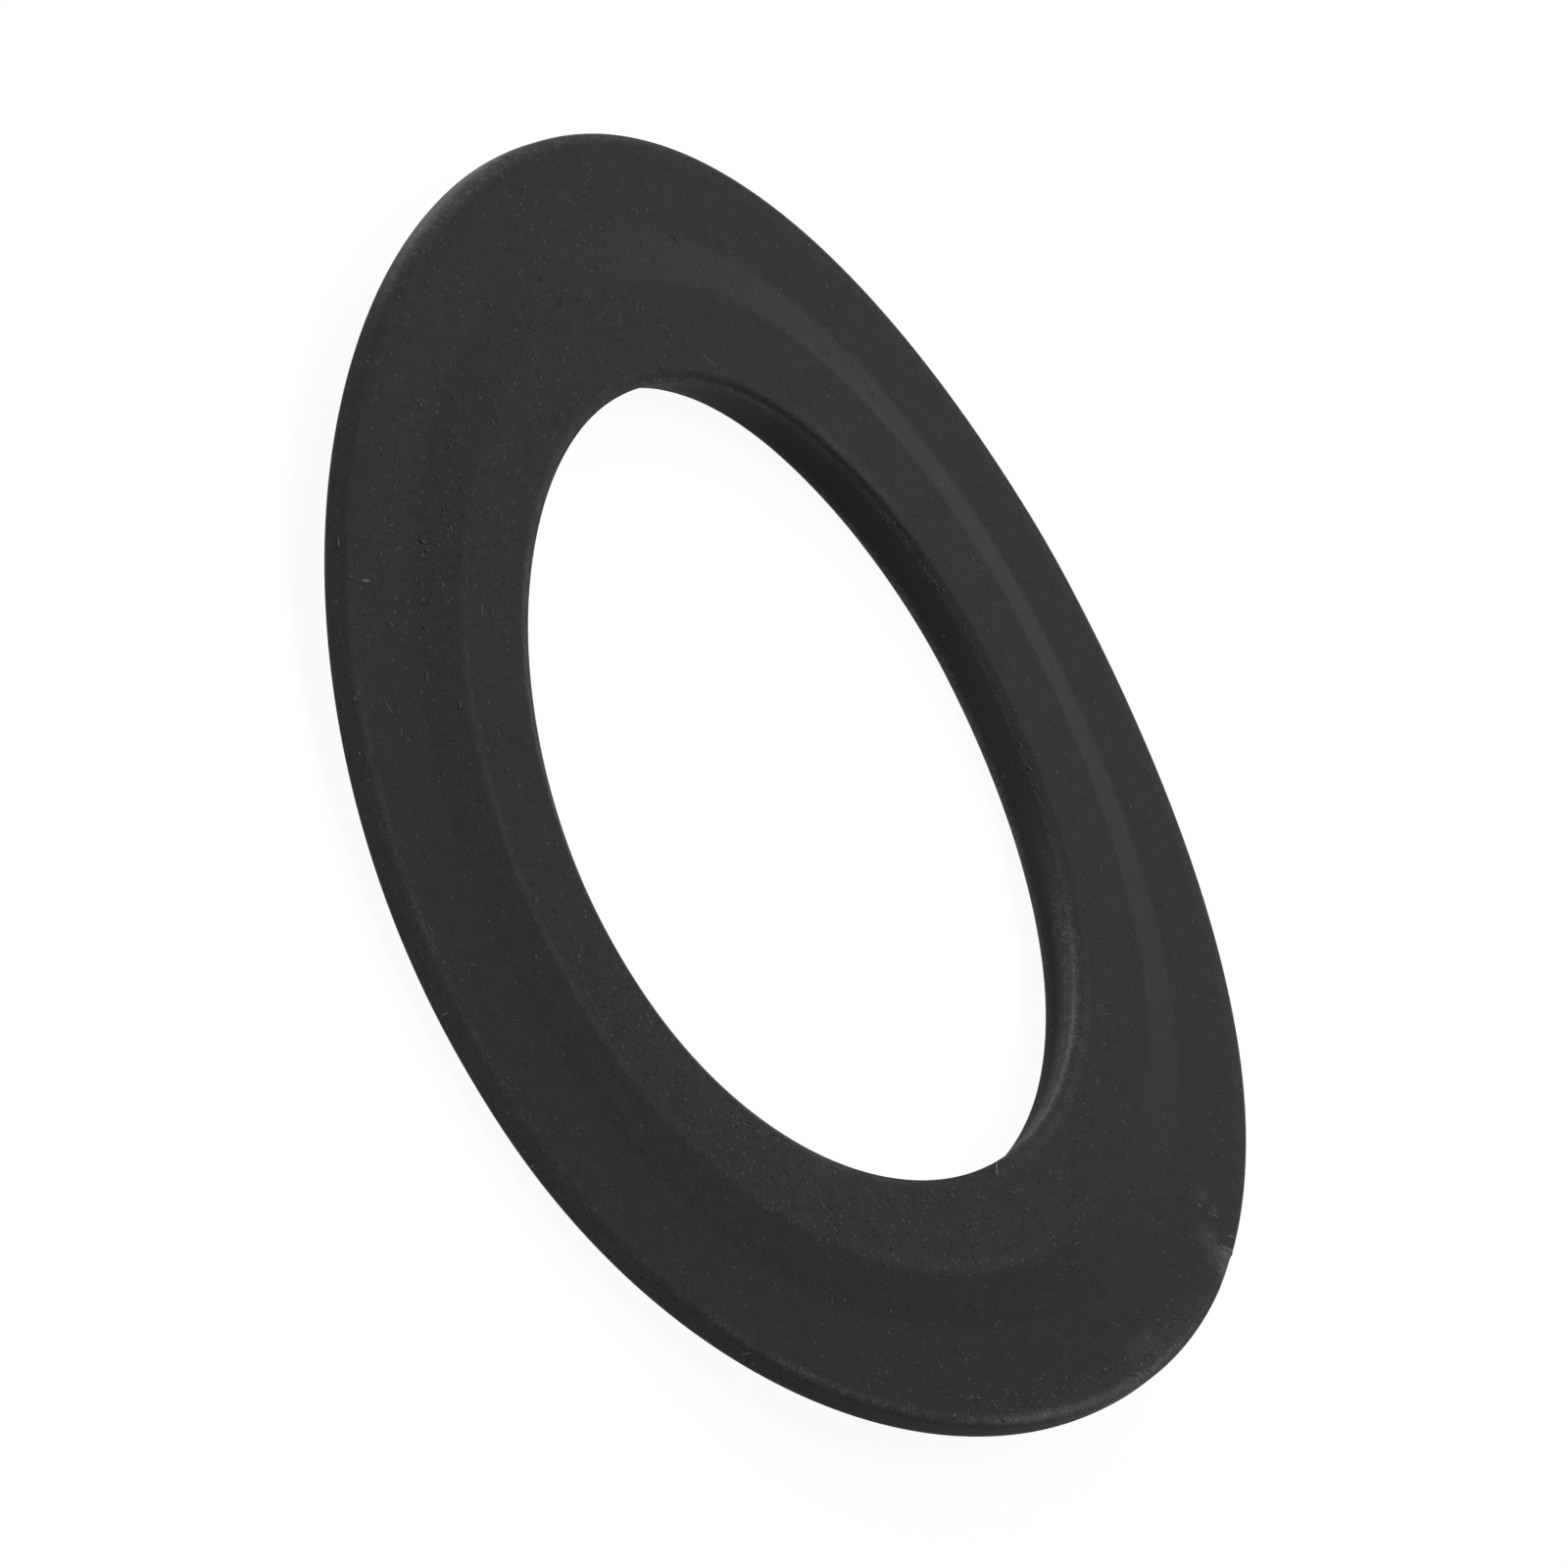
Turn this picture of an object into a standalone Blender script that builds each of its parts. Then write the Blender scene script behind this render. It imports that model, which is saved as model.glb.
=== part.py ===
"""Flush valve seal: one moulded rubber washer that closes the outlet of a cistern's flush valve.

The washer is a wide flat flange with a low raised hub round its bore, the same on both faces. It
lies on its back and, being soft, it has taken a set: it is flat in a strip across the middle and
curls up towards both ends along X. Metres, +Z up, origin under the centre of the bore, at the
surface that the washer lies on.
"""

import math

import bpy

# Flange and hub
OUTER_DIAMETER = 0.0630
FLANGE_THICKNESS = 0.00145
HUB_HEIGHT = 0.0006
HUB_FACE_DIAMETER = 0.0485
HUB_FOOT_DIAMETER = 0.0536

# Bore: it narrows from both faces to a crest, where the halves of the mould met
BORE_FRONT_DIAMETER = 0.0399
BORE_BACK_DIAMETER = 0.0396
BORE_CREST_DIAMETER = 0.0389
BORE_CREST_DEPTH = 0.0003

# Rounded edges
RIM_FRONT_RADIUS = 0.0004
RIM_BACK_RADIUS = 0.00045
BORE_FRONT_RADIUS = 0.0002
BORE_BACK_RADIUS = 0.0004
EDGE_STEPS = 4

# Set of the soft rubber: a flat strip, and an arc up to the end on each side of it
FLAT_STRIP_WIDTH = 0.0040
LEFT_BEND_RADIUS = 0.1200
RIGHT_BEND_RADIUS = 0.1660

# 4 times a whole number, plus 2, puts a flat facet and not an edge across the Y axis
TURN_STEPS = 4 * 29 + 2
SMOOTH_ANGLE = math.radians(20)

# Black rubber, matt from the mould's fine texture
RUBBER_COLOUR = (0.034, 0.034, 0.034, 1.0)
RUBBER_ROUGHNESS = 0.75
RUBBER_IOR = 1.52

NAME = "flush_valve_seal"


def clear_scene():
    """Removes every object, so that the part starts from an empty scene."""
    for thing in list(bpy.data.objects):
        bpy.data.objects.remove(thing, do_unlink=True)


def rounded_corner(before, corner, after, radius):
    """The points of an arc that rounds one corner of the section, or the corner itself if it is sharp."""
    if radius <= 0:
        return [corner]
    to_before = math.atan2(before[1] - corner[1], before[0] - corner[0])
    to_after = math.atan2(after[1] - corner[1], after[0] - corner[0])
    turn = (to_after - to_before + math.pi) % (2 * math.pi) - math.pi
    half = abs(turn) / 2
    middle = to_before + turn / 2
    reach = radius / math.sin(half)
    centre_x = corner[0] + reach * math.cos(middle)
    centre_z = corner[1] + reach * math.sin(middle)
    sweep = math.copysign(math.pi - 2 * half, turn)
    points = []
    for step in range(EDGE_STEPS + 1):
        angle = middle + math.pi + sweep * (0.5 - step / EDGE_STEPS)
        points.append((centre_x + radius * math.cos(angle), centre_z + radius * math.sin(angle)))
    return points


def washer_section():
    """The closed section as (radius, height): over the top, down the rim, back under, and up the bore."""
    flange_back = HUB_HEIGHT
    flange_front = flange_back + FLANGE_THICKNESS
    hub_front = flange_front + HUB_HEIGHT
    corners = [
        (BORE_FRONT_DIAMETER / 2, hub_front, BORE_FRONT_RADIUS),
        (HUB_FACE_DIAMETER / 2, hub_front, 0),
        (HUB_FOOT_DIAMETER / 2, flange_front, 0),
        (OUTER_DIAMETER / 2, flange_front, RIM_FRONT_RADIUS),
        (OUTER_DIAMETER / 2, flange_back, RIM_BACK_RADIUS),
        (HUB_FOOT_DIAMETER / 2, flange_back, 0),
        (HUB_FACE_DIAMETER / 2, 0.0, 0),
        (BORE_BACK_DIAMETER / 2, 0.0, BORE_BACK_RADIUS),
        (BORE_CREST_DIAMETER / 2, hub_front - BORE_CREST_DEPTH, 0),
    ]
    points = []
    for index, (radius, height, rounding) in enumerate(corners):
        before = corners[index - 1]
        after = corners[(index + 1) % len(corners)]
        points += rounded_corner(before, (radius, height), after, rounding)
    return points


def turned_mesh(section):
    """Turns the section once round Z with a Screw modifier and returns the mesh that it makes."""
    profile = bpy.data.meshes.new("washer_section")
    count = len(section)
    loop = [(index, (index + 1) % count) for index in range(count)]
    profile.from_pydata([(radius, 0.0, height) for radius, height in section], loop, [])
    holder = bpy.data.objects.new("washer_section", profile)
    bpy.context.scene.collection.objects.link(holder)
    turn = holder.modifiers.new("turn", "SCREW")
    turn.axis = "Z"
    turn.angle = 2 * math.pi
    turn.steps = TURN_STEPS
    turn.render_steps = TURN_STEPS
    turn.use_merge_vertices = True
    turn.merge_threshold = 1e-6
    bpy.context.view_layer.update()
    graph = bpy.context.evaluated_depsgraph_get()
    mesh = bpy.data.meshes.new_from_object(holder.evaluated_get(graph))
    bpy.data.objects.remove(holder, do_unlink=True)
    bpy.data.meshes.remove(profile)
    return mesh


def curl_ends(mesh):
    """Bends the ring about lines along Y: flat in the strip, then one arc up to each end.

    The middle of the flange's thickness keeps its length, as the neutral layer of a bend does.
    """
    strip_half = FLAT_STRIP_WIDTH / 2
    neutral = HUB_HEIGHT + FLANGE_THICKNESS / 2
    for vertex in mesh.vertices:
        x, y, z = vertex.co
        side = math.copysign(1.0, x)
        past_strip = abs(x) - strip_half
        if past_strip <= 0:
            continue
        bend_radius = RIGHT_BEND_RADIUS if side > 0 else LEFT_BEND_RADIUS
        angle = past_strip / bend_radius
        to_layer = bend_radius - (z - neutral)
        new_x = side * (strip_half + to_layer * math.sin(angle))
        new_z = neutral + bend_radius - to_layer * math.cos(angle)
        vertex.co = (new_x, y, new_z)


def black_rubber():
    """The seal's one material."""
    material = bpy.data.materials.new("black_rubber")
    material.use_nodes = True
    shader = material.node_tree.nodes["Principled BSDF"]
    shader.inputs["Base Color"].default_value = RUBBER_COLOUR
    shader.inputs["Roughness"].default_value = RUBBER_ROUGHNESS
    shader.inputs["Metallic"].default_value = 0.0
    shader.inputs["IOR"].default_value = RUBBER_IOR
    material.diffuse_color = RUBBER_COLOUR
    return material


def build_seal():
    """Makes the seal in a collection of its own and returns its object."""
    collection = bpy.data.collections.new("flush valve seal")
    bpy.context.scene.collection.children.link(collection)
    mesh = turned_mesh(washer_section())
    mesh.name = NAME
    curl_ends(mesh)
    mesh.materials.append(black_rubber())
    mesh.shade_smooth()
    mesh.set_sharp_from_angle(angle=SMOOTH_ANGLE)
    seal = bpy.data.objects.new(NAME, mesh)
    collection.objects.link(seal)
    return seal


clear_scene()
build_seal()
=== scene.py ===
"""Flush valve seal: the looks of one moulded black rubber washer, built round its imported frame.

The washer is turned and curled here as it is in the CAD model, with a finer mesh, softened edges
and the marks that storage and handling left on it. Lengths are millimetres up to the point where
a mesh, lamp or camera is made, and MM turns them into metres. Angles round the bore are degrees
from +X towards +Y.
"""

import logging
import math
from dataclasses import dataclass, field
from enum import Enum

import bpy
import numpy as np
from mathutils import Matrix, Vector


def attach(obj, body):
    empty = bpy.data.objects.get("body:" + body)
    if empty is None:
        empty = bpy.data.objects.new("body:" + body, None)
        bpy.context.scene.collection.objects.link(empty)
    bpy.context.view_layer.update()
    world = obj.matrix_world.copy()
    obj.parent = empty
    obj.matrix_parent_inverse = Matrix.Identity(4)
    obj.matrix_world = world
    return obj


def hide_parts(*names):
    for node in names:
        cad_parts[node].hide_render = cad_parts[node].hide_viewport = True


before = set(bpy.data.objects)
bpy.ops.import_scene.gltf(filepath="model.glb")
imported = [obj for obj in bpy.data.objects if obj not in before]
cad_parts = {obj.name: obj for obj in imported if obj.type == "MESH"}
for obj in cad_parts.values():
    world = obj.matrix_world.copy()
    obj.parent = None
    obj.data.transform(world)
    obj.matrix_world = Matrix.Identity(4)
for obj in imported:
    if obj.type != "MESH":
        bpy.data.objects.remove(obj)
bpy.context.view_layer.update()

LOG = logging.getLogger("flush_valve_seal")
MM = 0.001
NODE = "flush_valve_seal"
BODY = "root"

# Tone of bare rubber on the scale that runs from a mark's shaded foot, 0, to bright dust, 1
BARE_TONE = 0.2


def linear(hex_colour: str) -> tuple[float, float, float, float]:
    """Turns an sRGB hex colour into a linear colour.

    Args:
        hex_colour: six hex digits after a hash, such as "#2c2c2c".

    Returns:
        Red, green and blue in linear light, and an alpha of 1.
    """
    channels = []
    for start in (1, 3, 5):
        value = int(hex_colour[start:start + 2], 16) / 255
        channels.append(value / 12.92 if value <= 0.04045 else ((value + 0.055) / 1.055) ** 2.4)
    return (channels[0], channels[1], channels[2], 1.0)


def add_node(tree: bpy.types.NodeTree, kind: str, links: dict | None = None, **settings) -> bpy.types.Node:
    """Adds one shader node with its settings, values and links.

    Args:
        tree: the node tree that the node joins.
        kind: the node's type, such as "ShaderNodeTexNoise".
        links: input name, or its number where a node's names repeat, to a plain value or to the
            output socket that feeds it. A Mix node's inputs are 0 for the factor, 2 and 3 for two
            numbers, and 6 and 7 for two colours, which leave by output 2.
        settings: the node's own properties.

    Returns:
        The new node.
    """
    node = tree.nodes.new(kind)
    for name, value in settings.items():
        setattr(node, name, value)
    for name, source in (links or {}).items():
        if isinstance(source, bpy.types.NodeSocket):
            tree.links.new(source, node.inputs[name])
        else:
            node.inputs[name].default_value = source
    return node


def new_tree(name: str) -> tuple[bpy.types.Material, bpy.types.NodeTree]:
    """Makes a material with an empty node tree.

    Args:
        name: the material's name.

    Returns:
        The material and its tree.
    """
    material = bpy.data.materials.new(name)
    material.use_nodes = True
    material.node_tree.nodes.clear()
    return material, material.node_tree


def smooth_step(value: np.ndarray, low: float, high: float) -> np.ndarray:
    """Rises smoothly from 0 at low to 1 at high.

    Args:
        value: the values to turn into shares.
        low: where the rise starts.
        high: where it ends.

    Returns:
        Shares from 0 to 1.
    """
    share = np.clip((value - low) / (high - low), 0.0, 1.0)
    return share * share * (3 - 2 * share)


def angle_between(angle: np.ndarray, centre: float) -> np.ndarray:
    """The signed angle from a place round the ring.

    Args:
        angle: angles round the bore in degrees.
        centre: the place that they are measured from.

    Returns:
        Angles from -180 to 180.
    """
    return (angle - centre + 180.0) % 360.0 - 180.0


def band(value: np.ndarray, middle: float, full: float, fade: float) -> np.ndarray:
    """Is 1 near one value and fades smoothly to 0 on both sides of it.

    Args:
        value: the values to turn into shares.
        middle: the value at the middle of the band.
        full: how far from the middle the share stays 1.
        fade: how far from the middle it has reached 0.

    Returns:
        Shares from 0 to 1.
    """
    return 1 - smooth_step(np.abs(value - middle), full, fade)


def direction(azimuth: float, elevation: float) -> Vector:
    """The direction from the seal to the camera or a lamp.

    Args:
        azimuth: its turn from +X towards +Y, in degrees.
        elevation: its height above the floor, in degrees.

    Returns:
        A vector of length 1.
    """
    turn, rise = math.radians(azimuth), math.radians(elevation)
    level = math.cos(rise)
    return Vector((math.cos(turn) * level, math.sin(turn) * level, math.sin(rise)))


def linked(name: str, data: bpy.types.ID) -> bpy.types.Object:
    """Makes an object and links it to the scene.

    Args:
        name: the object's name.
        data: the mesh, camera or lamp that it shows.

    Returns:
        The object.
    """
    thing = bpy.data.objects.new(name, data)
    bpy.context.scene.collection.objects.link(thing)
    return thing


def smooth_mesh(name: str, points: np.ndarray, faces: list) -> bpy.types.Mesh:
    """Makes a smooth-shaded mesh.

    Args:
        name: the mesh's name.
        points: rows of x, y, z in millimetres.
        faces: the point numbers of each face.

    Returns:
        The mesh, in metres.
    """
    mesh = bpy.data.meshes.new(name)
    mesh.from_pydata((points * MM).tolist(), [], faces)
    mesh.shade_smooth()
    return mesh


def store(mesh: bpy.types.Mesh, name: str, values: np.ndarray) -> None:
    """Keeps one number or vector for each vertex, for the material to read.

    Args:
        mesh: the mesh that carries the values.
        name: the attribute's name.
        values: one number for each vertex, or rows of three.
    """
    kind, key = ("FLOAT", "value") if values.ndim == 1 else ("FLOAT_VECTOR", "vector")
    attribute = mesh.attributes.new(name, kind, "POINT")
    attribute.data.foreach_set(key, values.astype(np.float32).ravel())


class Zone(Enum):
    """The stretches of the washer's section, in the order in which the outline runs."""

    HUB_FRONT = 0
    SHOULDER_FRONT = 1
    FLANGE_FRONT = 2
    RIM_WALL = 3
    FLANGE_BACK = 4
    SHOULDER_BACK = 5
    HUB_BACK = 6
    BORE_WALL = 7
    BORE_BAND = 8


class MarkKind(Enum):
    """What a small mark is: its height over the skin, in millimetres."""

    DUST = 0.014
    FLUFF = 0.02
    SCUFF = 0.010


@dataclass(frozen=True)
class Corner:
    """One corner of the section: where it is, how far it is rounded, and the run that follows it.

    Attributes:
        radius: distance from the bore's axis.
        height: height over the surface that the seal lies on.
        rounding: radius of the rounded edge.
        zone: the stretch of surface between this corner and the next.
        pieces: faces along that stretch.
    """

    radius: float
    height: float
    rounding: float
    zone: Zone
    pieces: int


@dataclass(frozen=True)
class WasherSection:
    """The seal's section before it curled, as the CAD model has it, with softer edges.

    Attributes:
        outer_radius: radius of the rim.
        flange_thickness: thickness of the flange.
        hub_height: how far the hub stands out from the flange, on both faces.
        hub_face_radius: where the hub's flat face ends.
        hub_foot_radius: where its cone meets the flange.
        bore_front_radius: radius of the bore at its front edge.
        bore_back_radius: radius of the bore at its back edge.
        bore_crest_radius: radius of the bore at its narrowest.
        bore_crest_depth: how far below the hub's front face that is.
        rim_front_rounding: radius of the rim's front edge.
        rim_back_rounding: radius of the rim's back edge.
        bore_back_rounding: radius of the bore's back edge.
        hub_edge_rounding: radius of the edge between the hub's face and its cone.
        hub_foot_rounding: radius of the hollow at the cone's foot.
        bore_edge_rounding: radius of the bore's front edge.
        crest_rounding: radius of the crest.
        arc_pieces: faces along each rounded edge.
    """

    outer_radius: float = 31.5
    flange_thickness: float = 1.45
    hub_height: float = 0.6
    hub_face_radius: float = 24.25
    hub_foot_radius: float = 26.8
    bore_front_radius: float = 19.95
    bore_back_radius: float = 19.8
    bore_crest_radius: float = 19.45
    bore_crest_depth: float = 0.3
    rim_front_rounding: float = 0.4
    rim_back_rounding: float = 0.45
    bore_back_rounding: float = 0.5
    hub_edge_rounding: float = 2.0
    hub_foot_rounding: float = 2.2
    bore_edge_rounding: float = 0.5
    crest_rounding: float = 0.05
    arc_pieces: int = 5

    @property
    def flange_front(self) -> float:
        """Height of the flange's front face."""
        return self.hub_height + self.flange_thickness

    @property
    def hub_front(self) -> float:
        """Height of the hub's front face."""
        return self.flange_front + self.hub_height

    def corners(self) -> list[Corner]:
        """The section's corners, over the front face, down the rim, back under and up the bore.

        Returns:
            The corners in the order in which the outline runs.
        """
        crest_height = self.hub_front - self.bore_crest_depth
        return [
            Corner(self.bore_front_radius, self.hub_front, self.bore_edge_rounding, Zone.HUB_FRONT, 16),
            Corner(self.hub_face_radius, self.hub_front, self.hub_edge_rounding, Zone.SHOULDER_FRONT, 8),
            Corner(self.hub_foot_radius, self.flange_front, self.hub_foot_rounding, Zone.FLANGE_FRONT, 16),
            Corner(self.outer_radius, self.flange_front, self.rim_front_rounding, Zone.RIM_WALL, 7),
            Corner(self.outer_radius, self.hub_height, self.rim_back_rounding, Zone.FLANGE_BACK, 9),
            Corner(self.hub_foot_radius, self.hub_height, self.hub_foot_rounding, Zone.SHOULDER_BACK, 5),
            Corner(self.hub_face_radius, 0.0, self.hub_edge_rounding, Zone.HUB_BACK, 8),
            Corner(self.bore_back_radius, 0.0, self.bore_back_rounding, Zone.BORE_WALL, 8),
            Corner(self.bore_crest_radius, crest_height, self.crest_rounding, Zone.BORE_BAND, 5),
        ]

    def arc(self, before: Corner, corner: Corner, after: Corner) -> list[tuple[float, float]]:
        """Rounds one corner.

        Args:
            before: the corner that the outline comes from.
            corner: the corner to round.
            after: the corner that the outline goes to.

        Returns:
            Points along the rounded edge, as (radius, height).
        """
        to_before = math.atan2(before.height - corner.height, before.radius - corner.radius)
        to_after = math.atan2(after.height - corner.height, after.radius - corner.radius)
        turn = (to_after - to_before + math.pi) % math.tau - math.pi
        half = abs(turn) / 2
        middle = to_before + turn / 2
        reach = corner.rounding / math.sin(half)
        centre_radius = corner.radius + reach * math.cos(middle)
        centre_height = corner.height + reach * math.sin(middle)
        sweep = math.copysign(math.pi - 2 * half, turn)
        points = []
        for step in range(self.arc_pieces + 1):
            angle = middle + math.pi + sweep * (0.5 - step / self.arc_pieces)
            radius = centre_radius + corner.rounding * math.cos(angle)
            height = centre_height + corner.rounding * math.sin(angle)
            points.append((radius, height))
        return points

    def outline(self) -> tuple[np.ndarray, list[Zone]]:
        """The closed outline, with points closer together near each edge.

        Returns:
            Points as (radius, height), and the zone that starts at each point.
        """
        corners = self.corners()
        count = len(corners)
        arcs = [
            self.arc(corners[index - 1], corners[index], corners[(index + 1) % count])
            for index in range(count)
        ]
        points: list[tuple[float, float]] = []
        zones: list[Zone] = []
        for index, corner in enumerate(corners):
            points += arcs[index]
            zones += [corner.zone] * len(arcs[index])
            start, end = arcs[index][-1], arcs[(index + 1) % count][0]
            for step in range(1, corner.pieces):
                share = 0.5 - 0.5 * math.cos(math.pi * step / corner.pieces)
                radius = start[0] + (end[0] - start[0]) * share
                height = start[1] + (end[1] - start[1]) * share
                points.append((radius, height))
                zones.append(corner.zone)
        return np.array(points), zones

    def front_height(self, radius: float) -> float:
        """Height of the front face at one radius, from the crest in the bore out to the rim.

        Args:
            radius: distance from the bore's axis.

        Returns:
            The height over the surface that the seal lies on.
        """
        outline, zones = self.outline()
        front = [Zone.BORE_BAND, Zone.HUB_FRONT, Zone.SHOULDER_FRONT, Zone.FLANGE_FRONT]
        skin = np.array([point for point, zone in zip(outline, zones) if zone in front])
        skin = skin[np.argsort(skin[:, 0])]
        return float(np.interp(radius, skin[:, 0], skin[:, 1]))


@dataclass(frozen=True)
class Curl:
    """The set that the soft rubber has taken: a flat strip along Y, and an arc up to each end along X.

    Attributes:
        strip_half: half of the flat strip's width.
        left_radius: radius of the arc on the side of -X.
        right_radius: radius of the arc on the side of +X.
        neutral: height of the layer that keeps its length, in the middle of the flange.
    """

    strip_half: float = 2.0
    left_radius: float = 120.0
    right_radius: float = 166.0
    neutral: float = 1.325

    def place(self, flat: np.ndarray) -> np.ndarray:
        """Curls points of the flat washer.

        Args:
            flat: points as rows of x, y, z on the flat washer.

        Returns:
            The same points on the curled washer.
        """
        curled = flat.copy()
        for side, radius in ((-1.0, self.left_radius), (1.0, self.right_radius)):
            past = side * flat[:, 0] - self.strip_half
            chosen = past > 0
            angle = past[chosen] / radius
            layer = radius - (flat[chosen, 2] - self.neutral)
            curled[chosen, 0] = side * (self.strip_half + layer * np.sin(angle))
            curled[chosen, 2] = self.neutral + radius - layer * np.cos(angle)
        return curled


@dataclass(frozen=True)
class PaleStretch:
    """A stretch of the seal painted paler: by dust or rubbing on most, and as a painted highlight on
    some edges of the bore and rim.

    Attributes:
        angle: the middle of the stretch, in degrees round the bore.
        half_angle: half of the stretch's length, in degrees.
        radius: where in the section it is palest.
        height: the height of that place.
        half_width: how far it fades to either side, in millimetres.
        strength: how pale it is at its middle, from 0 to 1.
        full_along: the share of its half length over which it is full.
        full_across: the share of its half width over which it is full.
    """

    angle: float
    half_angle: float
    radius: float
    height: float
    half_width: float
    strength: float
    full_along: float = 0.3
    full_across: float = 0.1

    def amount(self, angle: np.ndarray, radius: np.ndarray, height: np.ndarray) -> np.ndarray:
        """How much this stretch pales each point of the flat washer.

        Args:
            angle: angles of the points in degrees.
            radius: their distances from the bore's axis.
            height: their heights.

        Returns:
            Amounts from 0 to the stretch's strength.
        """
        turn = angle_between(angle, self.angle)
        along = band(turn, 0.0, self.full_along * self.half_angle, self.half_angle)
        distance = np.hypot(radius - self.radius, height - self.height)
        across = band(distance, 0.0, self.full_across * self.half_width, self.half_width)
        return self.strength * along * across


@dataclass(frozen=True)
class UnevenStretch:
    """A stretch where an edge isn't truly round: trimmed flash, or rubber that has given.

    Attributes:
        angle: the middle of the stretch, in degrees round the bore.
        half_angle: half of its length, in degrees.
        radius: where in the section it is.
        height: the height of that place.
        reach: how far from there it fades out, in millimetres.
        shift: how far the edge moves outward, in millimetres; inward is below 0.
        full_along: the share of its half length over which it is full.
    """

    angle: float
    half_angle: float
    radius: float
    height: float
    reach: float
    shift: float
    full_along: float = 0.1

    def offset(self, angle: np.ndarray, radius: np.ndarray, height: np.ndarray) -> np.ndarray:
        """How far this stretch moves each point of the flat washer outward.

        Args:
            angle: angles of the points in degrees.
            radius: their distances from the bore's axis.
            height: their heights.

        Returns:
            Distances in millimetres.
        """
        turn = angle_between(angle, self.angle)
        along = band(turn, 0.0, self.full_along * self.half_angle, self.half_angle)
        distance = np.hypot(radius - self.radius, height - self.height)
        return self.shift * along * band(distance, 0.0, 0.0, self.reach)


@dataclass(frozen=True)
class Area:
    """An area of skin that is full in its middle and fades out towards its edges.

    Attributes:
        strength: its amount at the middle; below 0 it takes away.
        angle: its middle round the bore, in degrees.
        full: how far from that angle it stays full.
        fade: how far from that angle it has faded out.
        inner_edge: the radii between which it sets in, or None where it starts at the bore.
        outer_edge: the radii between which it fades out, or None where it runs to the rim.
    """

    strength: float
    angle: float
    full: float
    fade: float
    inner_edge: tuple[float, float] | None = None
    outer_edge: tuple[float, float] | None = None

    def amount(self, angle: np.ndarray, radius: np.ndarray) -> np.ndarray:
        """How much of it there is at each point.

        Args:
            angle: angles of the points in degrees.
            radius: their distances from the bore's axis.

        Returns:
            Amounts from 0 to the area's strength.
        """
        share = self.strength * band(angle_between(angle, self.angle), 0.0, self.full, self.fade)
        if self.inner_edge:
            share = share * smooth_step(radius, *self.inner_edge)
        if self.outer_edge:
            share = share * (1 - smooth_step(radius, *self.outer_edge))
        return share


@dataclass(frozen=True)
class PaintedShade:
    """Painted shade, which darkens the skin a little: in the groove between crest and hub, on the
    low side of the flange, on the left of the rim's wall and along a line low on the bore's wall.

    Attributes:
        low_flange: on the low side of the flange.
        left_wall: on the left of the rim's wall.
        bore_line: along a line low on the bore's wall at the right.
        groove_right: in the narrow groove between crest and hub, at the right.
        groove_upper_right: in the same groove further up.
        line_height: height of the line on the bore's wall.
        line_full: how far from there the line is full.
        line_fade: how far from there it has faded out.
        wall_limit: the radius within which the bore's wall lies.
        groove_radius: radius of the groove's middle.
        groove_full: how far from there the groove is full.
        groove_fade: how far from there it has faded out.
        groove_floor: the height over which the groove lies.
    """

    low_flange: Area = Area(0.14, 130.0, 30.0, 85.0, (25.6, 27.6), (31.3, 31.45))
    left_wall: Area = Area(0.17, 56.0, 14.0, 44.0, (31.3, 31.45))
    bore_line: Area = Area(0.28, 203.0, 14.0, 32.0)
    groove_right: Area = Area(0.20, 203.0, 14.0, 32.0)
    groove_upper_right: Area = Area(0.34, 305.0, 16.0, 34.0)
    line_height: float = 0.95
    line_full: float = 0.05
    line_fade: float = 0.32
    wall_limit: float = 19.9
    groove_radius: float = 19.76
    groove_full: float = 0.02
    groove_fade: float = 0.15
    groove_floor: float = 2.3

    def amount(self, angle: np.ndarray, radius: np.ndarray, height: np.ndarray) -> np.ndarray:
        """How far the painted shade darkens each point.

        Args:
            angle: angles of the points in degrees.
            radius: their distances from the bore's axis.
            height: their heights.

        Returns:
            Shares from 0 to 1.
        """
        skin = self.low_flange.amount(angle, radius) + self.left_wall.amount(angle, radius)
        line = band(height, self.line_height, self.line_full, self.line_fade)
        line = line * (radius < self.wall_limit) * self.bore_line.amount(angle, radius)
        groove = self.groove_right.amount(angle, radius) + self.groove_upper_right.amount(angle, radius)
        groove = groove * band(radius, self.groove_radius, self.groove_full, self.groove_fade)
        return skin + line + groove * (height > self.groove_floor)


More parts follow.
